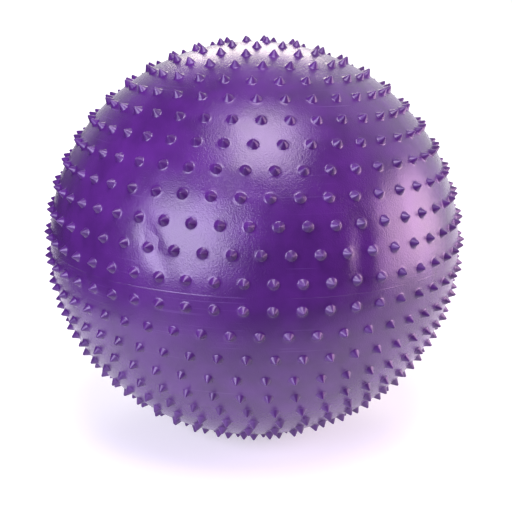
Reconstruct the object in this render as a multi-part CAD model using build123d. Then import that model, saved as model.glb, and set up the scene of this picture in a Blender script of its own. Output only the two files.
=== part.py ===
"""Inflatable massage ball: a seamless skin covered in conical nubs, with its air valve and stopper.

Millimetres, +Z up. The origin is on the floor, under the centre of the ball.
The skin is laid out as a sphere, and the whole of it is then flattened to the height it sags to.
"""

from build123d import *
import math
import os

# Skin: the ball's width is taken over the tips of the nubs either side of its belt.
overall_width = 650.0
sag_ratio = 0.963  # height kept by the softly inflated ball, as a share of its width
wall = 0.8

# Nubs: rings at even steps of latitude, each ring filled at the spacing of the rings.
ring_count = 26
seam_angle = 90.0  # every ring starts with a nub on this meridian, measured from +X
nub_height = 9.4
nub_tip_radius = 2.0
nub_half_angle = 34.0

# Patch the ball stands on, where the skin is pressed flat.
floor_rings = 2
floor_margin = 1.5  # flat skin left outside the feet of the outermost ring on the floor
floor_squash = 0.4  # how far the tips of the nubs on the floor are pressed flat

# Valve at the top pole: a bush bonded into the skin, and its stopper.
head_radius = 9.5
head_gap = 0.35
head_sink = 0.9  # depth of the bush's recess below the inside of the skin
head_rounding = 0.5
bush_lip = 0.35  # bush left showing between its recess and the edge of the skin
valve_margin = 1.0  # skin left round the valve's hole: a nub whose foot would reach into it is left out
bond_gap = 0.05
flange_radius = 17.0
flange_rim = 1.6
collar_radius = 8.0
collar_tip_radius = 6.8
collar_length = 14.0
bore_radius = 5.2
bore_end_radius = 4.6
bore_gap = 0.08  # radial clearance of the stopper's shank
seat_gap = 0.05
shank_length = 14.5
shank_land = 1.6
shank_groove_depth = 0.35
shank_groove_width = 1.4
shank_core_radius = 2.6
shank_core_depth = 11.0

flat_enough = 1e-6  # a latitude nearer to the belt than this, in radians, is on it

# Sizes that follow.
ring_pitch = 180 / ring_count
tip_reach = (overall_width / 2 - nub_tip_radius) / math.cos(math.radians(ring_pitch / 2))
skin_radius = tip_reach + nub_tip_radius - nub_height
hole_radius = head_radius + head_gap + bush_lip


def point(radius, height):
    """A point of a half-section, in the XZ plane."""
    return Vector(radius, 0, height)


def arc_middle(centre, radius, start, end):
    """The point halfway round the short arc from start to end."""
    middle = (start - centre).normalized() + (end - centre).normalized()
    return centre + middle.normalized() * radius


def nub_edges(base_radius=skin_radius):
    """Half-section of a nub from z = 0, on the round skin or, with no radius, on the flat patch."""
    slope = math.radians(nub_half_angle)
    outward = point(math.cos(slope), math.sin(slope))
    downward = point(math.sin(slope), -math.cos(slope))
    tip_centre = point(0, nub_height - nub_tip_radius)
    flank_high = tip_centre + outward * nub_tip_radius
    if base_radius is None:
        foot = flank_high + downward * (flank_high.Z / math.cos(slope))
        flat_radius = math.sqrt(floor_squash * (2 * nub_tip_radius - floor_squash))
        tip = point(flat_radius, nub_height - floor_squash)
    else:
        from_centre = flank_high + point(0, base_radius)
        along = from_centre.dot(downward)
        above = from_centre.dot(from_centre) - base_radius**2
        foot = flank_high - downward * (along + math.sqrt(along * along - above))
        tip = point(0, nub_height)
    middle = arc_middle(tip_centre, nub_tip_radius, flank_high, tip)
    return [Edge.make_line(foot, flank_high), Edge.make_three_point_arc(flank_high, middle, tip)]


def ring_of(start):
    """The circle round a nub's axis through a point of its half-section."""
    return Wire([Edge.make_circle(start.X, Plane.XY.offset(start.Z))])


def foot_radius():
    return (nub_edges()[0] @ 0).X


def ring_latitude(ring):
    return math.radians(-90 + (ring + 0.5) * ring_pitch)


def ring_directions(ring):
    """Directions from the ball's centre to the nubs of one ring, counted from the bottom."""
    latitude = ring_latitude(ring)
    count = max(3, round(2 * ring_count * math.cos(latitude)))
    reach = skin_radius * math.cos(latitude) - foot_radius()
    if latitude > 0 and reach < hole_radius + valve_margin:
        count = 0
    for index in range(count):
        longitude = math.radians(seam_angle + 360 * index / count)
        yield Vector(
            math.cos(latitude) * math.cos(longitude),
            math.cos(latitude) * math.sin(longitude),
            math.sin(latitude),
        )


def patch_radius():
    """Radius of the flat patch, just outside the nubs that stand on the floor."""
    return skin_radius * math.cos(ring_latitude(floor_rings - 1)) + foot_radius() + floor_margin


def patch_height():
    return -math.sqrt(skin_radius**2 - patch_radius() ** 2)


def hole_height(radius):
    """Height at which the valve's hole leaves a sphere of that radius."""
    return math.sqrt(radius**2 - hole_radius**2)


def floor_height():
    """Height of the floor once the ball has sagged, measured from the ball's centre."""
    return sag_ratio * (patch_height() - nub_height + floor_squash)


def middle_height(face):
    return face.bounding_box().center().Z


def sphere_zones(radius, heights):
    """A sphere cut at the given heights, bottom zone first. Its seam runs along the belt."""
    ends = Vector(radius, 0, 0), Vector(-radius, 0, 0)
    arc = Edge.make_three_point_arc(ends[0], Vector(0, radius, 0), ends[1])
    zones = []
    for side in (-1, 1):
        pieces = [Face.revolve(arc, side * 180, Axis.X)]
        for height in heights:
            if height * side > 0:
                outermost = max(pieces, key=lambda face: abs(middle_height(face)))
                pieces.remove(outermost)
                pieces += outermost.split(Plane.XY.offset(height), keep=Keep.ALL)
        zones += pieces
    return sorted(zones, key=middle_height)


def circle_at(face, height):
    """The circular edge of a zone that lies at a height."""

    def miss(edge):
        return abs(edge.center().Z - height) + abs((edge @ 0).Z - height)

    return min(face.edges(), key=miss)


def zones_between(radius, low, high, cuts=()):
    """The part of a sphere between two heights, in zones, with the circles that bound it."""
    zones = sphere_zones(radius, sorted([low, high, *cuts], key=abs))[1:-1]
    return zones, circle_at(zones[0], low), circle_at(zones[-1], high)


def sagged(shape):
    """A shape flattened with the whole ball and set on the floor."""
    sag = Matrix([[1, 0, 0, 0], [0, 1, 0, 0], [0, 0, sag_ratio, -floor_height()], [0, 0, 0, 1]])
    return shape.transform_geometry(sag)


def with_nubs(zone, places):
    """One zone of the round skin with holes for its nubs, and the nubs that close them."""
    edges = nub_edges()
    rims = [ring_of(edges[0] @ 0).moved(place) for place in places]
    nubs = [Face.revolve(edge, 360, Axis.Z).moved(place) for place in places for edge in edges]
    return [zone.make_holes(rims)] + nubs if rims else [zone]


def floor_patch(rim):
    """The flat patch inside that rim, and the nubs on it with their tips pressed flat."""
    edges = nub_edges(None)
    ways = [way * skin_radius for ring in range(floor_rings) for way in ring_directions(ring)]
    places = [Plane(origin=(way.X, way.Y, patch_height()), z_dir=(0, 0, -1)).location for way in ways]
    feet = [sagged(ring_of(edges[0] @ 0).moved(place)) for place in places]
    tips = [sagged(ring_of(edges[-1] @ 1).moved(place)) for place in places]
    nubs = [Face.revolve(edge, 360, Axis.Z).moved(place) for place in places for edge in edges]
    patch = Face(Wire([sagged(rim)])).make_holes(feet)
    return [patch] + [Face(tip) for tip in tips] + [sagged(nub) for nub in nubs]


def ball_skin():
    """Outside and inside of the skin, joined round the valve's hole and closed by the flat patch."""
    edges = [math.radians(-90 + step * ring_pitch) for step in range(floor_rings + 1, ring_count)]
    cuts = [skin_radius * math.sin(edge) for edge in edges if abs(edge) > flat_enough]
    zones, patch_rim, hole_rim = zones_between(skin_radius, patch_height(), hole_height(skin_radius), cuts)
    inner_radius = skin_radius - wall
    inner_low, inner_high = patch_height() + wall, hole_height(inner_radius)
    inside, inner_patch_rim, inner_hole_rim = zones_between(inner_radius, inner_low, inner_high, cuts)
    faces = [Face.revolve(Edge.make_line(hole_rim @ 0, inner_hole_rim @ 0), 360, Axis.Z)] + inside
    for zone, ring in zip(zones, range(floor_rings, ring_count)):
        places = [Plane(origin=way * skin_radius, z_dir=way).location for way in ring_directions(ring)]
        faces += with_nubs(zone, places)
    round_skin = sagged(Shell(faces)).faces()
    inner_patch = Face(Wire([sagged(inner_patch_rim)]))
    return Solid(Shell(round_skin + floor_patch(patch_rim) + [inner_patch]))


def skin_height(radius, inset):
    """Height of the sagged skin at a distance from the valve's axis, that far in from its outside."""
    return sag_ratio * math.sqrt((skin_radius - inset) ** 2 - radius**2) - floor_height()


def recess_height():
    """Height of the floor of the bush's recess, which the stopper's head sits on."""
    return skin_height(0, wall) - head_sink


def bore_radius_at(depth):
    return bore_radius + (bore_end_radius - bore_radius) * depth / collar_length


def turned(edges):
    """A solid turned about the valve's axis from the closed half-section these edges make."""
    return revolve(make_face(edges), Axis.Z)


def path(*points):
    """Straight edges through half-section points given as (radius, height)."""
    ends = [point(*p) for p in points]
    return [Edge.make_line(a, b) for a, b in zip(ends, ends[1:])]


def valve_seat():
    """Bush with a recess for the stopper's head, a flange bonded under the skin and a tapered collar."""
    recess = recess_height()
    recess_radius = head_radius + head_gap
    top_in = (recess_radius, skin_height(recess_radius, wall) - bond_gap)
    top_out = (flange_radius, skin_height(flange_radius, wall) - bond_gap)
    middle_radius = (recess_radius + flange_radius) / 2
    top_middle = (middle_radius, skin_height(middle_radius, wall) - bond_gap)
    underside = top_out[1] - flange_rim
    collar_end = recess - collar_length
    edges = path(
        top_out,
        (flange_radius, underside),
        (collar_radius, underside),
        (collar_tip_radius, collar_end),
        (bore_end_radius, collar_end),
        (bore_radius, recess),
        (recess_radius, recess),
        top_in,
    )
    edges.append(Edge.make_three_point_arc(point(*top_in), point(*top_middle), point(*top_out)))
    return turned(edges)


def valve_plug():
    """Stopper: a head flush with the skin and a tapered, grooved shank, cored from its inner end."""
    under_head = recess_height() + seat_gap
    top = skin_height(0, 0)
    shank_end = under_head - shank_length
    shank = turned(
        path(
            (0, under_head),
            (bore_radius_at(0) - bore_gap, under_head),
            (bore_radius_at(shank_length) - bore_gap, shank_end),
            (0, shank_end),
            (0, under_head),
        )
    )
    head = Pos(0, 0, under_head) * Cylinder(
        head_radius, top - under_head, align=(Align.CENTER, Align.CENTER, Align.MIN)
    )
    rim = head.edges().filter_by(GeomType.CIRCLE).sort_by(Axis.Z)[-1]
    plug = fillet(rim, head_rounding) + shank
    pitch = shank_land + shank_groove_width
    for index in range(int((shank_length - shank_land) / pitch)):
        depth = shank_land + index * pitch
        groove_top = under_head - depth
        groove_end = groove_top - shank_groove_width
        top_radius = bore_radius_at(depth) - bore_gap
        end_radius = bore_radius_at(depth + shank_groove_width) - bore_gap
        plug -= turned(
            path(
                (top_radius + shank_groove_depth, groove_top),
                (top_radius, groove_top),
                (end_radius - shank_groove_depth, groove_end),
                (end_radius + shank_groove_depth, groove_end),
                (top_radius + shank_groove_depth, groove_top),
            )
        )
    core = Cylinder(shank_core_radius, shank_core_depth, align=(Align.CENTER, Align.CENTER, Align.MIN))
    return plug - Pos(0, 0, shank_end) * core


os.makedirs("parts", exist_ok=True)
for make in (ball_skin, valve_seat, valve_plug):
    export_step(make(), f"parts/{make.__name__}.step")
    print(make.__name__)
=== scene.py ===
import bpy
import math
from mathutils import Matrix, Vector


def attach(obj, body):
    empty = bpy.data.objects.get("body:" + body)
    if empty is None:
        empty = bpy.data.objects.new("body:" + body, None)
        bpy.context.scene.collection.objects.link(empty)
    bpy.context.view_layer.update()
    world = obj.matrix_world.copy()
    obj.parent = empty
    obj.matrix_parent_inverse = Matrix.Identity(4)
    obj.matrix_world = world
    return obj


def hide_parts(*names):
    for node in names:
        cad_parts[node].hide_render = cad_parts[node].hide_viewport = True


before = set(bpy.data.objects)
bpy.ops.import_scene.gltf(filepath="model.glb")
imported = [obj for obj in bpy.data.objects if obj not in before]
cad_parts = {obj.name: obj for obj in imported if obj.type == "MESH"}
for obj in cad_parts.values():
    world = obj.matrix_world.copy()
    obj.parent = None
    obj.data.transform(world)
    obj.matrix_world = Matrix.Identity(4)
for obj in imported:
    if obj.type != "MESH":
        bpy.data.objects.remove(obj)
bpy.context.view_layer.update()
scene = bpy.context.scene
print("frame loaded:", len(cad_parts), "nodes")


def hexColour(code):  # sRGB hex to the linear colour that shaders take
    parts = [int(code[i:i + 2], 16) / 255 for i in (1, 3, 5)]
    return tuple(p / 12.92 if p <= 0.04045 else ((p + 0.055) / 1.055) ** 2.4 for p in parts) + (1.0,)


def addNode(tree, kind, settings=None, inputs=None):
    # settings: a dictionary, or just the operation; inputs: by name or number, or in order, with values,
    # sockets, or nodes for their first output
    node = tree.nodes.new(kind)
    settings = {"operation": settings} if isinstance(settings, str) else settings or {}
    inputs = dict(enumerate(inputs)) if isinstance(inputs, tuple) else inputs or {}
    for name, value in settings.items():
        setattr(node, name, value)
    for key, source in inputs.items():
        if isinstance(source, bpy.types.Node):
            source = source.outputs[0]
        if isinstance(source, bpy.types.NodeSocket):
            tree.links.new(source, node.inputs[key])
        else:
            node.inputs[key].default_value = source
    return node


def newObject(name, mesh):
    made = bpy.data.objects.new(name, mesh)
    scene.collection.objects.link(made)
    return made


# camera: slightly above the belt, a little to the right of the side opposite the seam
camera = {
    "azimuth": 22.9,
    "elevation": 14.23,
    "distance": 1.582,  # from the middle of the ball
    "lens": 70.24,
    "roll": 1.36,
    "aimRight": -0.0975,
    "aimUp": 1.055,  # the ball stands this far above the middle of the view
    "nearest": 0.05,
    "farthest": 60,
}
beltHeight = 0.30675


def directionTo(azimuth, elevation):  # in degrees; azimuth 0 looks along +Y and 90 along -X
    turn, rise = math.radians(azimuth), math.radians(elevation)
    return Vector((math.sin(turn) * math.cos(rise), -math.cos(turn) * math.cos(rise), math.sin(rise)))


def facingBall(away, distance):  # stands that far from the middle of the ball and looks at it
    place = Matrix.Translation(Vector((0, 0, beltHeight)) + away * distance)
    return place @ away.to_track_quat("Z", "Y").to_matrix().to_4x4()


def makeCamera():
    data = bpy.data.cameras.new("camera")
    data.lens = camera["lens"]
    data.clip_start, data.clip_end = camera["nearest"], camera["farthest"]
    made = newObject("camera", data)
    aim = Matrix.Rotation(math.radians(camera["roll"]), 4, "Z")
    aim = aim @ Matrix.Rotation(math.radians(-camera["aimUp"]), 4, "X")
    aim = aim @ Matrix.Rotation(math.radians(camera["aimRight"]), 4, "Y")
    away = directionTo(camera["azimuth"], camera["elevation"])
    made.matrix_world = facingBall(away, camera["distance"]) @ aim
    scene.camera = made


makeCamera()
print("camera set")

# skin: one moulded shell with its nubs, in metres, by the same rules as the CAD part
skin = {
    "beltReach": 0.325,  # over the tips of the nubs either side of the belt
    "rings": 26,
    "seamAngle": 90.0,  # every ring starts with a nub on this meridian
    "sag": 0.963,
    "wall": 0.0008,
    "innerSteps": 40,
    "patchRadius": 0.06597,
    "patchCorners": 52,
    "holeRadius": 0.0102,
    "holeCorners": 52,
    "beltCorners": 312,
    "weld": 1e-5,
    "sharpAngle": 65,  # keeps the rim of the valve's hole crisp
}
nub = {
    "height": 0.0094,
    "tipRadius": 0.002,
    "halfAngle": 34.0,
    "footFillet": 0.0026,
    "floorFillet": 0.0015,
    "floorSquash": 0.0004,
    "skirts": (0.0118, 0.0165),  # rows of skin round each foot, so that the skin can follow its dents
    "segments": 14,
}
dent = {
    "size": 0.12,
    "depth": 0.0012,
    "ripple": (0.44, 0.68),  # stretch of the noise that goes from no dent to a full one
    "fade": (0.9, 0.96),  # share of the radius up or down where dents end, short of the valve and the floor
    # azimuth, elevation, tilt, length, width, depth
    "creases": (
        (-1.9, 10.7, 57.0, 0.13, 0.04, 0.0028),
        (49.5, 9.0, 95.0, 0.17, 0.046, 0.0024),
        (17.0, 27.0, 12.0, 0.13, 0.034, 0.0012),
    ),
}
ringPitch = math.pi / skin["rings"]
tipReach = (skin["beltReach"] - nub["tipRadius"]) / math.cos(ringPitch / 2) + nub["tipRadius"]
skinRadius = tipReach - nub["height"]
patchDepth = math.sqrt(skinRadius ** 2 - skin["patchRadius"] ** 2)
holeHeight = math.sqrt(skinRadius ** 2 - skin["holeRadius"] ** 2)
floorDepth = skin["sag"] * (patchDepth + nub["height"] - nub["floorSquash"])
smooth = {"interpolation_type": "SMOOTHSTEP"}


def middleOfArc(centre, radius, start, end):
    return centre + ((start - centre).normalized() + (end - centre).normalized()).normalized() * radius


def nubProfile(baseRadius, skirts=()):
    # half-section from the tip out, with z = 0 on the skin, which is flat where no radius is given
    slope = math.radians(nub["halfAngle"])
    outward = Vector((math.cos(slope), math.sin(slope)))
    downward = Vector((math.sin(slope), -math.cos(slope)))
    tipRadius = nub["tipRadius"]
    tipCentre = Vector((0, nub["height"] - tipRadius))
    shoulder = tipCentre + outward * tipRadius
    if baseRadius:
        fillet = nub["footFillet"]
        fromBall = shoulder + outward * fillet + Vector((0, baseRadius))
        along = fromBall.dot(downward)
        run = -along - math.sqrt(along ** 2 - fromBall.length_squared + (baseRadius + fillet) ** 2)
        filletCentre = shoulder + outward * fillet + downward * run
        toFoot = (filletCentre + Vector((0, baseRadius))) * baseRadius / (baseRadius + fillet)
        foot = toFoot - Vector((0, baseRadius))
        tip = Vector((0, nub["height"]))
        top = [tip, middleOfArc(tipCentre, tipRadius, shoulder, tip)]
    else:
        fillet = nub["floorFillet"]
        run = (shoulder.y + fillet * math.sin(slope) - fillet) / math.cos(slope)
        filletCentre = shoulder + outward * fillet + downward * run
        foot = Vector((filletCentre.x, 0))
        pressed = nub["height"] - nub["floorSquash"]
        flat = math.sqrt(nub["floorSquash"] * (2 * tipRadius - nub["floorSquash"]))
        top = [Vector((0, pressed)), Vector((flat, pressed))]
    flankEnd = filletCentre - outward * fillet
    rows = top + [shoulder, flankEnd, middleOfArc(filletCentre, fillet, flankEnd, foot), foot]
    return rows + [Vector((r, math.sqrt(baseRadius ** 2 - r ** 2) - baseRadius)) for r in skirts]


def turnedMesh(name, profile, segments):  # a profile turned about Z; a point on the axis becomes one vertex
    verts, rows = [], []
    for point in profile:
        count = 1 if point[0] < skin["weld"] else segments
        rows.append([len(verts) + i % count for i in range(segments)])
        for i in range(count):
            turn = 2 * math.pi * i / segments
            verts.append((point[0] * math.cos(turn), point[0] * math.sin(turn), point[1]))
    faces = []
    for upper, lower in zip(rows, rows[1:]):
        for i in range(segments):
            corners = [upper[i], lower[i], lower[(i + 1) % segments], upper[(i + 1) % segments]]
            faces.append(list(dict.fromkeys(corners)))
    mesh = bpy.data.meshes.new(name)
    mesh.from_pydata(verts, [], faces)
    return mesh


def innerWallProfile():  # from the middle of the flat patch up the inside of the skin to the valve's hole
    inner = skinRadius - skin["wall"]
    hole, patch = skin["holeRadius"], patchDepth - skin["wall"]
    start, stop = math.asin(hole / inner), math.acos(-patch / inner)
    rows = [Vector((hole, holeHeight))]
    for i in range(skin["innerSteps"] + 1):
        angle = start + (stop - start) * i / skin["innerSteps"]
        rows.append(Vector((inner * math.sin(angle), inner * math.cos(angle))))
    return [Vector((0, -patch))] + rows[::-1]


def ringPlaces(tree, given):  # one point for each nub, ring by ring
    start = addNode(tree, "GeometryNodeRepeatInput")
    end = addNode(tree, "GeometryNodeRepeatOutput")
    start.pair_with_output(end)
    tree.links.new(given["Rings"], start.inputs["Iterations"])
    steps = addNode(tree, "ShaderNodeMath", "ADD", (start.outputs["Iteration"], 0.5))  # no ring on the belt
    fromBottom = addNode(tree, "ShaderNodeMath", "MULTIPLY", (steps, given["Pitch"]))
    reach = addNode(tree, "ShaderNodeMath", "SINE", (fromBottom,))
    fall = addNode(tree, "ShaderNodeMath", "COSINE", (fromBottom,))
    beltCount = addNode(tree, "ShaderNodeMath", "MULTIPLY", (given["Rings"], 2.0))
    share = addNode(tree, "ShaderNodeMath", "MULTIPLY", (reach, beltCount))
    rounded = addNode(tree, "ShaderNodeMath", "ROUND", (share,))
    ring = addNode(tree, "GeometryNodeMeshCircle", {"fill_type": "NONE"}, {
        "Vertices": addNode(tree, "ShaderNodeMath", "MAXIMUM", (3.0, rounded)),
        "Radius": addNode(tree, "ShaderNodeMath", "MULTIPLY", (reach, given["Skin Radius"]))})
    drop = addNode(tree, "ShaderNodeMath", "MULTIPLY", (fall, given["Skin Radius"]))
    lift = addNode(tree, "ShaderNodeMath", "MULTIPLY", (drop, -1.0))
    lifted = addNode(tree, "GeometryNodeTransform", {}, {
        "Geometry": ring, "Translation": addNode(tree, "ShaderNodeCombineXYZ", {}, {"Z": lift})})
    join = addNode(tree, "GeometryNodeJoinGeometry", {}, {0: lifted})
    tree.links.new(start.outputs["Geometry"], join.inputs[0])
    tree.links.new(join.outputs[0], end.inputs["Geometry"])
    angle = addNode(tree, "ShaderNodeMath", "RADIANS", (given["Seam Angle"],))
    seam = addNode(tree, "FunctionNodeEulerToRotation", {}, (
        addNode(tree, "ShaderNodeCombineXYZ", {}, {"Z": angle}),))
    return addNode(tree, "GeometryNodeTransform", {}, {"Geometry": end.outputs["Geometry"], "Rotation": seam})


def nubsOn(tree, places, chosen, template, rotation):
    shape = addNode(tree, "GeometryNodeObjectInfo", {}, {"Object": template}).outputs["Geometry"]
    nubs = addNode(tree, "GeometryNodeInstanceOnPoints", {}, {
        "Points": places, "Selection": chosen, "Instance": shape, "Rotation": rotation})
    return addNode(tree, "GeometryNodeRealizeInstances", {}, {"Geometry": nubs})


def halfSkin(tree, given, rims, position, height, side, opening):
    # skin between the nubs of one half: their rims are spread flat, filled, and wrapped round the ball again
    radius = given["Skin Radius"]
    above = addNode(tree, "ShaderNodeMath", "MULTIPLY", (height, side))
    ownRims = addNode(tree, "GeometryNodeSeparateGeometry", {"domain": "CURVE"}, {
        "Geometry": rims, "Selection": addNode(tree, "ShaderNodeMath", "GREATER_THAN", (above, 0.0))})
    openingRim = addNode(tree, "GeometryNodeTransform", {}, {
        "Geometry": addNode(tree, "GeometryNodeCurvePrimitiveCircle", {}, {
            "Resolution": given[opening + " Corners"], "Radius": given[opening + " Radius"]}),
        "Translation": addNode(tree, "ShaderNodeCombineXYZ", {}, {"Z": given[opening + " Height"]})})
    belt = addNode(tree, "GeometryNodeCurvePrimitiveCircle", {}, {
        "Resolution": given["Belt Corners"], "Radius": radius})
    outline = addNode(tree, "GeometryNodeJoinGeometry", {}, {0: ownRims})
    for curve in (openingRim, belt):
        tree.links.new(curve.outputs[0], outline.inputs[0])
    diameter = addNode(tree, "ShaderNodeMath", "MULTIPLY", (radius, 2.0))
    fromPole = addNode(tree, "ShaderNodeMath", "ADD", (radius, above))
    spread = addNode(tree, "ShaderNodeMath", "DIVIDE", (diameter, fromPole))
    wide = addNode(tree, "ShaderNodeVectorMath", "SCALE", {0: position, "Scale": spread})
    flat = addNode(tree, "ShaderNodeVectorMath", "MULTIPLY", (wide, (1, 1, 0)))
    filled = addNode(tree, "GeometryNodeFillCurve", {}, (
        addNode(tree, "GeometryNodeSetPosition", {}, {"Geometry": outline, "Position": flat}),))
    reachSquared = addNode(tree, "ShaderNodeVectorMath", "DOT_PRODUCT", (position, position))
    diameterSquared = addNode(tree, "ShaderNodeMath", "POWER", (diameter, 2.0))
    share = addNode(tree, "ShaderNodeMath", "DIVIDE", (reachSquared.outputs["Value"], diameterSquared))
    grown = addNode(tree, "ShaderNodeMath", "ADD", (share, 1.0))
    shrink = addNode(tree, "ShaderNodeMath", "DIVIDE", (1.0, grown))
    rest = addNode(tree, "ShaderNodeMath", "MULTIPLY", (
        addNode(tree, "ShaderNodeMath", "SUBTRACT", (1.0, share)), shrink))
    wrappedHeight = addNode(tree, "ShaderNodeMath", "MULTIPLY", (
        rest, addNode(tree, "ShaderNodeMath", "MULTIPLY", (radius, side))))
    wrapped = addNode(tree, "ShaderNodeVectorMath", "ADD", (
        addNode(tree, "ShaderNodeVectorMath", "SCALE", {0: position, "Scale": shrink}),
        addNode(tree, "ShaderNodeCombineXYZ", {}, {"Z": wrappedHeight})))
    half = addNode(tree, "GeometryNodeSetPosition", {}, {"Geometry": filled, "Position": wrapped})
    if side < 0:
        half = addNode(tree, "GeometryNodeFlipFaces", {}, {"Mesh": half})
    return half


def flatPatch(tree, given, floorNubs, openEdge, flatPosition, patchPlace):  # skin between the floor's nubs
    rims = addNode(tree, "GeometryNodeMeshToCurve", {}, {"Mesh": floorNubs, "Selection": openEdge})
    edge = addNode(tree, "GeometryNodeCurvePrimitiveCircle", {}, {
        "Resolution": given["Patch Corners"], "Radius": given["Patch Radius"]})
    outline = addNode(tree, "GeometryNodeJoinGeometry", {}, {0: rims})
    tree.links.new(edge.outputs[0], outline.inputs[0])
    flattened = addNode(tree, "GeometryNodeSetPosition", {}, {"Geometry": outline, "Position": flatPosition})
    patch = addNode(tree, "GeometryNodeTransform", {}, {
        "Geometry": addNode(tree, "GeometryNodeFillCurve", {}, (flattened,)), "Translation": patchPlace})
    return addNode(tree, "GeometryNodeFlipFaces", {}, {"Mesh": patch})


def creaseDepth(tree, unit, azimuth, elevation, tilt, length, width, depth):
    middle = directionTo(azimuth, elevation)
    level = Vector((math.cos(math.radians(azimuth)), math.sin(math.radians(azimuth)), 0.0))
    tilt = math.radians(tilt)
    along = level * math.cos(tilt) - middle.cross(level) * math.sin(tilt)
    facing = addNode(tree, "ShaderNodeVectorMath", "DOT_PRODUCT", (unit, middle)).outputs["Value"]
    near = addNode(tree, "ShaderNodeMath", "GREATER_THAN", (facing, 0.5))  # the crease's own side
    crease = addNode(tree, "ShaderNodeMath", "MULTIPLY", (near, depth))
    for line, reach in ((along, length / 2), (middle.cross(along), width / 2)):
        offset = addNode(tree, "ShaderNodeVectorMath", "DOT_PRODUCT", (unit, line)).outputs["Value"]
        away = addNode(tree, "ShaderNodeMath", "ABSOLUTE", (offset,))
        mark = addNode(tree, "ShaderNodeMapRange", smooth, (away, 0.0, reach / skinRadius, 1.0, 0.0))
        crease = addNode(tree, "ShaderNodeMath", "MULTIPLY", (crease, mark))
    return crease


def dentOffset(tree, given, position, height):
    # soft dents and creases left by the folds it was packed in, always inwards, gone by the valve and floor
    radius = given["Skin Radius"]
    unit = addNode(tree, "ShaderNodeVectorMath", "NORMALIZE", (position,))
    ripple = addNode(tree, "ShaderNodeTexNoise", {}, {
        "Vector": unit, "Scale": addNode(tree, "ShaderNodeMath", "DIVIDE", (radius, given["Dent Size"])),
        "Detail": 1.0, "Roughness": 0.4})
    total = addNode(tree, "ShaderNodeMapRange", smooth, (ripple, *dent["ripple"], 0.0, given["Dent Depth"]))
    for crease in dent["creases"]:
        total = addNode(tree, "ShaderNodeMath", "ADD", (total, creaseDepth(tree, unit, *crease)))
    offBelt = addNode(tree, "ShaderNodeMath", "ABSOLUTE", (height,))
    far = addNode(tree, "ShaderNodeMath", "DIVIDE", (offBelt, radius))
    clear = addNode(tree, "ShaderNodeMapRange", smooth, (far, *dent["fade"], 1.0, 0.0))
    inward = addNode(tree, "ShaderNodeMath", "MULTIPLY", (
        addNode(tree, "ShaderNodeMath", "MULTIPLY", (total, clear)), -1.0))
    return addNode(tree, "ShaderNodeVectorMath", "SCALE", {0: unit, "Scale": inward})


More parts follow.
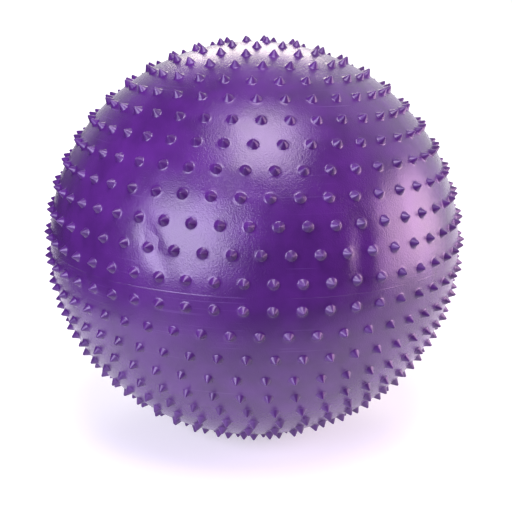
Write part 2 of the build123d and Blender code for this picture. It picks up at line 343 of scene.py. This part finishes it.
def ballSkinTree(sizes):
    tree = bpy.data.node_groups.new("ballSkin", "GeometryNodeTree")
    kinds = {bpy.types.Object: "Object", bpy.types.Material: "Material", int: "Int", float: "Float"}
    for name, value in sizes.items():
        tree.interface.new_socket(name, in_out="INPUT", socket_type="NodeSocket" + kinds[type(value)])
    tree.interface.new_socket("Geometry", in_out="OUTPUT", socket_type="NodeSocketGeometry")
    given = addNode(tree, "NodeGroupInput").outputs
    position = addNode(tree, "GeometryNodeInputPosition")
    height = addNode(tree, "ShaderNodeSeparateXYZ", {}, (position,)).outputs["Z"]
    radius = given["Skin Radius"]
    places = ringPlaces(tree, given)

    # nubs: bare ones on the floor and round the valve, the rest with a skirt of skin
    onFloor = addNode(tree, "ShaderNodeMath", "LESS_THAN", (height, given["Patch Height"]))
    topHeight = addNode(tree, "ShaderNodeMath", "MULTIPLY", (
        addNode(tree, "ShaderNodeMath", "COSINE", (given["Pitch"],)), radius))
    onTop = addNode(tree, "ShaderNodeMath", "GREATER_THAN", (height, topHeight))
    offFloor = addNode(tree, "ShaderNodeMath", "SUBTRACT", (1.0, onFloor))
    elsewhere = addNode(tree, "ShaderNodeMath", "SUBTRACT", (offFloor, onTop))
    outward = addNode(tree, "FunctionNodeAlignRotationToVector", {"axis": "Z"}, {"Vector": position})
    roundNubs = addNode(tree, "GeometryNodeJoinGeometry", {}, {
        0: nubsOn(tree, places, elsewhere, given["Nub"], outward)})
    topNubs = nubsOn(tree, places, onTop, given["Top Nub"], outward)
    tree.links.new(topNubs.outputs[0], roundNubs.inputs[0])

    # the floor nubs are picked on the round ball, then moved up to the patch's plane
    flatPosition = addNode(tree, "ShaderNodeVectorMath", "MULTIPLY", (position, (1, 1, 0)))
    patchPlace = addNode(tree, "ShaderNodeCombineXYZ", {}, {"Z": given["Patch Height"]})
    floorPlaces = addNode(tree, "GeometryNodeSetPosition", {}, {
        "Geometry": addNode(tree, "GeometryNodeSeparateGeometry", {"domain": "POINT"}, {
            "Geometry": places, "Selection": onFloor}),
        "Position": addNode(tree, "ShaderNodeVectorMath", "ADD", (flatPosition, patchPlace))})
    downward = addNode(tree, "FunctionNodeEulerToRotation", {}, ((math.pi, 0, 0),))
    floorNubs = nubsOn(tree, floorPlaces, True, given["Floor Nub"], downward)

    # the skin closes up between the nubs, with the valve's hole at the top and the flat patch below
    edgeFaces = addNode(tree, "GeometryNodeInputMeshEdgeNeighbors").outputs["Face Count"]
    openEdge = addNode(tree, "FunctionNodeCompare", {"data_type": "INT", "operation": "EQUAL"}, {
        2: edgeFaces, 3: 1})
    rims = addNode(tree, "GeometryNodeMeshToCurve", {}, {"Mesh": roundNubs, "Selection": openEdge})
    whole = addNode(tree, "GeometryNodeJoinGeometry")
    innerWall = addNode(tree, "GeometryNodeObjectInfo", {}, {"Object": given["Inner Wall"]})
    tree.links.new(innerWall.outputs["Geometry"], whole.inputs[0])
    for part in (
            roundNubs, floorNubs,
            halfSkin(tree, given, rims, position, height, 1.0, "Hole"),
            halfSkin(tree, given, rims, position, height, -1.0, "Patch"),
            flatPatch(tree, given, floorNubs, openEdge, flatPosition, patchPlace)):
        tree.links.new(part.outputs[0], whole.inputs[0])
    welded = addNode(tree, "GeometryNodeMergeByDistance", {}, {"Geometry": whole, "Distance": given["Weld"]})

    # how far each point stands off the skin, for the finish of the nubs
    fromMiddle = addNode(tree, "ShaderNodeVectorMath", "LENGTH", (position,)).outputs["Value"]
    marked = addNode(tree, "GeometryNodeStoreNamedAttribute", {"data_type": "FLOAT", "domain": "POINT"}, {
        "Geometry": welded, "Name": "nubRise",
        "Value": addNode(tree, "ShaderNodeMath", "SUBTRACT", (fromMiddle, radius))})
    dented = addNode(tree, "GeometryNodeSetPosition", {}, {
        "Geometry": marked, "Offset": dentOffset(tree, given, position, height)})

    # the air lets the whole ball sag
    squash = addNode(tree, "ShaderNodeCombineXYZ", {}, (1.0, 1.0, given["Sag"]))
    sagged = addNode(tree, "ShaderNodeVectorMath", "MULTIPLY", (position, squash))
    raised = addNode(tree, "ShaderNodeVectorMath", "ADD", (
        sagged, addNode(tree, "ShaderNodeCombineXYZ", {}, {"Z": given["Floor Depth"]})))
    resting = addNode(tree, "GeometryNodeSetPosition", {}, {"Geometry": dented, "Position": raised})
    solid = addNode(tree, "GeometryNodeRealizeInstances", {}, {"Geometry": resting})
    finished = addNode(tree, "GeometryNodeSetMaterial", {}, {
        "Geometry": solid, "Material": given["Material"]})
    addNode(tree, "NodeGroupOutput", {}, {"Geometry": finished})
    return tree


def makeBallSkin(material):
    shapes = {
        "Nub": turnedMesh("nubShape", nubProfile(skinRadius, nub["skirts"]), nub["segments"]),
        "Top Nub": turnedMesh("topNubShape", nubProfile(skinRadius), nub["segments"]),
        "Floor Nub": turnedMesh("floorNubShape", nubProfile(None), nub["segments"]),
        "Inner Wall": turnedMesh("innerWall", innerWallProfile(), skin["holeCorners"]),
    }
    templates = {name: newObject(mesh.name, mesh) for name, mesh in shapes.items()}
    sizes = {
        "Skin Radius": skinRadius,
        "Rings": skin["rings"],
        "Pitch": ringPitch,
        "Seam Angle": skin["seamAngle"],
        "Hole Radius": skin["holeRadius"],
        "Hole Height": holeHeight,
        "Hole Corners": skin["holeCorners"],
        "Patch Radius": skin["patchRadius"],
        "Patch Height": -patchDepth,
        "Patch Corners": skin["patchCorners"],
        "Belt Corners": skin["beltCorners"],
        "Weld": skin["weld"],
        "Dent Size": dent["size"],
        "Dent Depth": dent["depth"],
        "Sag": skin["sag"],
        "Floor Depth": floorDepth,
        "Material": material,
    }
    inputs = {**templates, **sizes}
    maker = newObject("skinMaker", bpy.data.meshes.new("skinMaker"))
    modifier = maker.modifiers.new("skin", "NODES")
    modifier.node_group = ballSkinTree(inputs)
    for item in modifier.node_group.interface.items_tree:
        if item.in_out == "INPUT":
            modifier[item.identifier] = inputs[item.name]
    mesh = bpy.data.meshes.new_from_object(maker.evaluated_get(bpy.context.evaluated_depsgraph_get()))
    for made in (maker, *templates.values()):
        bpy.data.objects.remove(made)
    mesh.polygons.foreach_set("use_smooth", [True] * len(mesh.polygons))
    mesh.set_sharp_from_angle(angle=math.radians(skin["sharpAngle"]))
    return newObject("ballSkin", mesh)


def newMaterial(name):
    material = bpy.data.materials.new(name)
    material.use_nodes = True
    tree = material.node_tree
    return material, tree, tree.nodes["Principled BSDF"]


# plasticised PVC, rotationally moulded: a satin gloss over a fine pebbled grain that breaks up its
# highlights, cloudy in tone, with level scuffs and the mould's parting line round the belt
vinyl = {
    "colour": "#491f66",
    "deepColour": "#3d1957",
    "softSize": 0.05,  # of the clouds in its tone
    "softRange": (0.35, 0.65),
    "ior": 1.53,
    "roughness": 0.225,
    "roughnessSpread": 0.04,
    "roughnessRange": (0.3, 0.7),  # stretch of the noise that covers the spread
    "nubRoughness": 0.38,  # the mould was polished less inside its nubs
    "grainSize": 0.0021,  # the real grain is about 0.7 mm; this is as fine as still shows
    "grainHeight": 0.00012,
    "grainRange": (0.35, 0.65),
    "grainOnNubs": 0.12,  # share of the grain that is left on a nub
    "nubFoot": 0.0015,  # it has faded out this far up
    "partingHeight": 0.00025,
    "partingWidth": 0.0011,
    "scuffColour": "#8d6cae",
    "scuffShare": 0.16,
    "scuffPatch": 0.09,
    "patchRange": (0.5, 0.62),
    "scuffStretch": (4.0, 4.0, 420.0),  # level streaks a couple of millimetres high, from its carton
    "scuffRange": (0.66, 0.72),
}


def makeSkinVinyl():
    material, tree, shader = newMaterial("skinVinyl")
    place = addNode(tree, "ShaderNodeTexCoord").outputs["Object"]
    rise = addNode(tree, "ShaderNodeAttribute", {"attribute_name": "nubRise"}).outputs["Fac"]
    onSkin = addNode(tree, "ShaderNodeMapRange", {}, (rise, 0.0, vinyl["nubFoot"], 1.0, vinyl["grainOnNubs"]))

    clouds = addNode(tree, "ShaderNodeTexNoise", {}, {
        "Vector": place, "Scale": 1 / vinyl["softSize"], "Detail": 3.0})
    tone = addNode(tree, "ShaderNodeMapRange", {}, (clouds, *vinyl["softRange"]))
    colour = addNode(tree, "ShaderNodeMix", {"data_type": "RGBA"}, {
        0: tone, 6: hexColour(vinyl["deepColour"]), 7: hexColour(vinyl["colour"])}).outputs[2]
    patches = addNode(tree, "ShaderNodeTexNoise", {}, {
        "Vector": place, "Scale": 1 / vinyl["scuffPatch"], "Detail": 1.0})
    worn = addNode(tree, "ShaderNodeMapRange", smooth, (patches, *vinyl["patchRange"]))
    stretched = addNode(tree, "ShaderNodeVectorMath", "MULTIPLY", (place, vinyl["scuffStretch"]))
    streaks = addNode(tree, "ShaderNodeTexNoise", {}, {"Vector": stretched, "Scale": 1.0, "Detail": 1.0})
    thin = addNode(tree, "ShaderNodeMapRange", {}, (streaks, *vinyl["scuffRange"], 0.0, vinyl["scuffShare"]))
    scuff = addNode(tree, "ShaderNodeMath", "MULTIPLY", (worn, thin))
    colour = addNode(tree, "ShaderNodeMix", {"data_type": "RGBA"}, {
        0: scuff, 6: colour, 7: hexColour(vinyl["scuffColour"])}).outputs[2]
    tree.links.new(colour, shader.inputs["Base Color"])

    grain = addNode(tree, "ShaderNodeTexNoise", {}, {
        "Vector": place, "Scale": 1 / vinyl["grainSize"], "Detail": 2.0, "Roughness": 0.6})
    pebbles = addNode(tree, "ShaderNodeMapRange", {}, (grain, *vinyl["grainRange"]))
    grainBump = addNode(tree, "ShaderNodeBump", {}, {
        "Strength": onSkin, "Distance": vinyl["grainHeight"], "Height": pebbles})
    # the parting line of the two halves of the mould, worn away in places
    level = addNode(tree, "ShaderNodeSeparateXYZ", {}, (place,)).outputs["Z"]
    offBelt = addNode(tree, "ShaderNodeMath", "ABSOLUTE", (
        addNode(tree, "ShaderNodeMath", "SUBTRACT", (level, beltHeight)),))
    parting = addNode(tree, "ShaderNodeMapRange", smooth, (offBelt, 0.0, vinyl["partingWidth"], 1.0, 0.0))
    bump = addNode(tree, "ShaderNodeBump", {}, {
        "Distance": vinyl["partingHeight"],
        "Height": addNode(tree, "ShaderNodeMath", "MULTIPLY", (parting, tone)),
        "Normal": grainBump})
    tree.links.new(bump.outputs["Normal"], shader.inputs["Normal"])

    least, most = (vinyl["roughness"] + way * vinyl["roughnessSpread"] for way in (-1, 1))
    roughness = addNode(tree, "ShaderNodeMapRange", {}, (grain, *vinyl["roughnessRange"], least, most))
    finish = addNode(tree, "ShaderNodeMix", {"data_type": "FLOAT"}, {
        0: onSkin, 2: vinyl["nubRoughness"], 3: roughness})
    tree.links.new(finish.outputs[0], shader.inputs["Roughness"])
    shader.inputs["IOR"].default_value = vinyl["ior"]
    return material


ballSkin = makeBallSkin(makeSkinVinyl())
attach(ballSkin, "ball")
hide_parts("ball_skin")
print("skin made:", len(ballSkin.data.polygons), "faces")

# plasticised PVC again, compression moulded: the same purple without the grain, so its gloss is even
seatVinyl = {
    "colour": "#472066",
    "wornColour": "#54297a",
    "cloudSize": 0.012,
    "ior": 1.53,
    "roughness": (0.22, 0.38),
}


def makeSeatVinyl():
    material, tree, shader = newMaterial("seatVinyl")
    place = addNode(tree, "ShaderNodeTexCoord").outputs["Object"]
    clouds = addNode(tree, "ShaderNodeTexNoise", {}, {
        "Vector": place, "Scale": 1 / seatVinyl["cloudSize"], "Detail": 3.0})
    colour = addNode(tree, "ShaderNodeMix", {"data_type": "RGBA"}, {
        0: clouds, 6: hexColour(seatVinyl["colour"]), 7: hexColour(seatVinyl["wornColour"])}).outputs[2]
    roughness = addNode(tree, "ShaderNodeMapRange", {}, (clouds, 0.0, 1.0, *seatVinyl["roughness"]))
    tree.links.new(colour, shader.inputs["Base Color"])
    tree.links.new(roughness.outputs[0], shader.inputs["Roughness"])
    shader.inputs["IOR"].default_value = seatVinyl["ior"]
    return material


# soft white polyethylene, injection moulded: milky, because light sinks in a little, with a waxy gloss
plugPlastic = {
    "colour": "#ece9e1",
    "dustColour": "#cfc8bb",
    "dustRange": (0.5, 0.75),
    "dustShare": 0.5,
    "cloudSize": 0.006,
    "ior": 1.51,
    "roughness": 0.42,
    "milk": 0.25,
    "milkDepth": 0.002,
    "marksHeight": 0.00005,
}


def makePlugPlastic():
    material, tree, shader = newMaterial("plugPlastic")
    place = addNode(tree, "ShaderNodeTexCoord").outputs["Object"]
    clouds = addNode(tree, "ShaderNodeTexNoise", {}, {
        "Vector": place, "Scale": 1 / plugPlastic["cloudSize"], "Detail": 4.0})
    dust = addNode(tree, "ShaderNodeMapRange", {}, (
        clouds, *plugPlastic["dustRange"], 0.0, plugPlastic["dustShare"]))
    colour = addNode(tree, "ShaderNodeMix", {"data_type": "RGBA"}, {
        0: dust, 6: hexColour(plugPlastic["colour"]), 7: hexColour(plugPlastic["dustColour"])}).outputs[2]
    marks = addNode(tree, "ShaderNodeBump", {}, {"Distance": plugPlastic["marksHeight"], "Height": clouds})
    tree.links.new(colour, shader.inputs["Base Color"])
    tree.links.new(marks.outputs["Normal"], shader.inputs["Normal"])
    shader.inputs["Roughness"].default_value = plugPlastic["roughness"]
    shader.inputs["IOR"].default_value = plugPlastic["ior"]
    shader.inputs["Subsurface Weight"].default_value = plugPlastic["milk"]
    shader.inputs["Subsurface Scale"].default_value = plugPlastic["milkDepth"]
    return material


for name, material in (("valve_seat", makeSeatVinyl()), ("valve_plug", makePlugPlastic())):
    for materialSlot in bpy.data.objects[name].material_slots:
        materialSlot.material = material
print("valve finished")

# studio: a white floor with painted shade in front of the ball and to its left and a painted glow, four
# softboxes, and a room that is pale behind the ball and dark in front of it
softboxes = {
    # azimuth and elevation from the ball, distance, width, height, radiance, colour
    "leftSoftbox": (-12.0, 15.0, 2.2, 1.6, 1.35, 11.0, "#e9deff"),
    "topSoftbox": (26.0, 67.0, 2.2, 1.25, 1.35, 11.0, "#f8e8ff"),
    "rightSoftbox": (112.0, 9.0, 2.2, 1.7, 1.3, 7.6, "#ffd0f4"),
    "backSoftbox": (205.0, 34.0, 2.6, 1.4, 0.9, 5.0, "#fff4e6"),
}
ground = {
    "reach": 30,
    "colour": "#d2d2d6",
    "shade": "#242427",  # painted shade: the floor's colour falls off to this towards the dark end of the room, in front of the ball and to its left
    "frontFade": (0.36, 0.8),
    "leftFade": (0.52, 0.85),
    "leftSpread": 0.27,  # the part of the floor outside the painted shade widens this much with each metre back
    # painted light: the floor glows, less near the ball and more far behind it
    "glow": 0.45,
    "farGlow": 1.0,
    "farFade": (0.6, 3.0),
    "roughness": 0.7,
}
room = {
    "front": 0.03,
    "back": 1.02,
    "azimuth": 172.0,
    "fade": (0.1, 0.8),
}


def makeFloor():
    mesh = bpy.data.meshes.new("floor")
    reach = ground["reach"]
    corners = [(-reach, -reach, 0), (reach, -reach, 0), (reach, reach, 0), (-reach, reach, 0)]
    mesh.from_pydata(corners, [], [(0, 1, 2, 3)])
    floor = newObject("floor", mesh)
    material, tree, shader = newMaterial("paleFloor")
    place = addNode(tree, "ShaderNodeTexCoord").outputs["Object"]
    forward, leftward = directionTo(camera["azimuth"], 0), directionTo(camera["azimuth"] - 90, 0)
    ahead = addNode(tree, "ShaderNodeVectorMath", "DOT_PRODUCT", (place, forward)).outputs["Value"]
    aside = addNode(tree, "ShaderNodeVectorMath", "DOT_PRODUCT", (place, leftward)).outputs["Value"]
    edge = addNode(tree, "ShaderNodeMath", "MULTIPLY_ADD", (ahead, ground["leftSpread"], aside))
    # painted shade: the floor's colour darkens in front of the ball and to its left, where the room is dark
    fade = addNode(tree, "ShaderNodeMath", "MAXIMUM", (
        addNode(tree, "ShaderNodeMapRange", smooth, (ahead, *ground["frontFade"])),
        addNode(tree, "ShaderNodeMapRange", smooth, (edge, *ground["leftFade"]))))
    shade = addNode(tree, "ShaderNodeMix", {"data_type": "RGBA"}, {
        0: fade, 6: hexColour(ground["colour"]), 7: hexColour(ground["shade"])}).outputs[2]
    # painted light: the floor glows, more far behind the ball, and not at all where its shade is painted
    behind = addNode(tree, "ShaderNodeMath", "MULTIPLY", (ahead, -1.0))
    far = addNode(tree, "ShaderNodeMapRange", {}, (
        behind, *ground["farFade"], ground["glow"], ground["farGlow"]))
    glow = addNode(tree, "ShaderNodeMapRange", {}, (fade, 0.0, 1.0, far, 0.0))
    tree.links.new(shade, shader.inputs["Base Color"])
    tree.links.new(glow.outputs[0], shader.inputs["Emission Strength"])
    shader.inputs["Emission Color"].default_value = hexColour("#ffffff")
    shader.inputs["Roughness"].default_value = ground["roughness"]
    mesh.materials.append(material)


def makeSoftbox(name, azimuth, elevation, distance, width, height, radiance, colour):
    lamp = bpy.data.lights.new(name, "AREA")
    lamp.shape, lamp.size, lamp.size_y = "RECTANGLE", width, height
    lamp.energy = radiance * math.pi * width * height
    lamp.color = hexColour(colour)[:3]
    newObject(name, lamp).matrix_world = facingBall(directionTo(azimuth, elevation), distance)


def makeRoom():
    world = bpy.data.worlds.new("room")
    scene.world = world
    world.use_nodes = True
    tree = world.node_tree
    towards = addNode(tree, "ShaderNodeTexCoord").outputs["Generated"]
    depth = addNode(tree, "ShaderNodeVectorMath", "DOT_PRODUCT", (towards, directionTo(room["azimuth"], 0)))
    level = addNode(tree, "ShaderNodeMapRange", smooth, (
        depth.outputs["Value"], *room["fade"], room["front"], room["back"]))
    tree.links.new(level.outputs[0], tree.nodes["Background"].inputs["Strength"])
    tree.nodes["Background"].inputs["Color"].default_value = hexColour("#ffffff")


scene.view_settings.view_transform = "Standard"
makeFloor()
for name, place in softboxes.items():
    makeSoftbox(name, *place)
makeRoom()
print("studio lit")
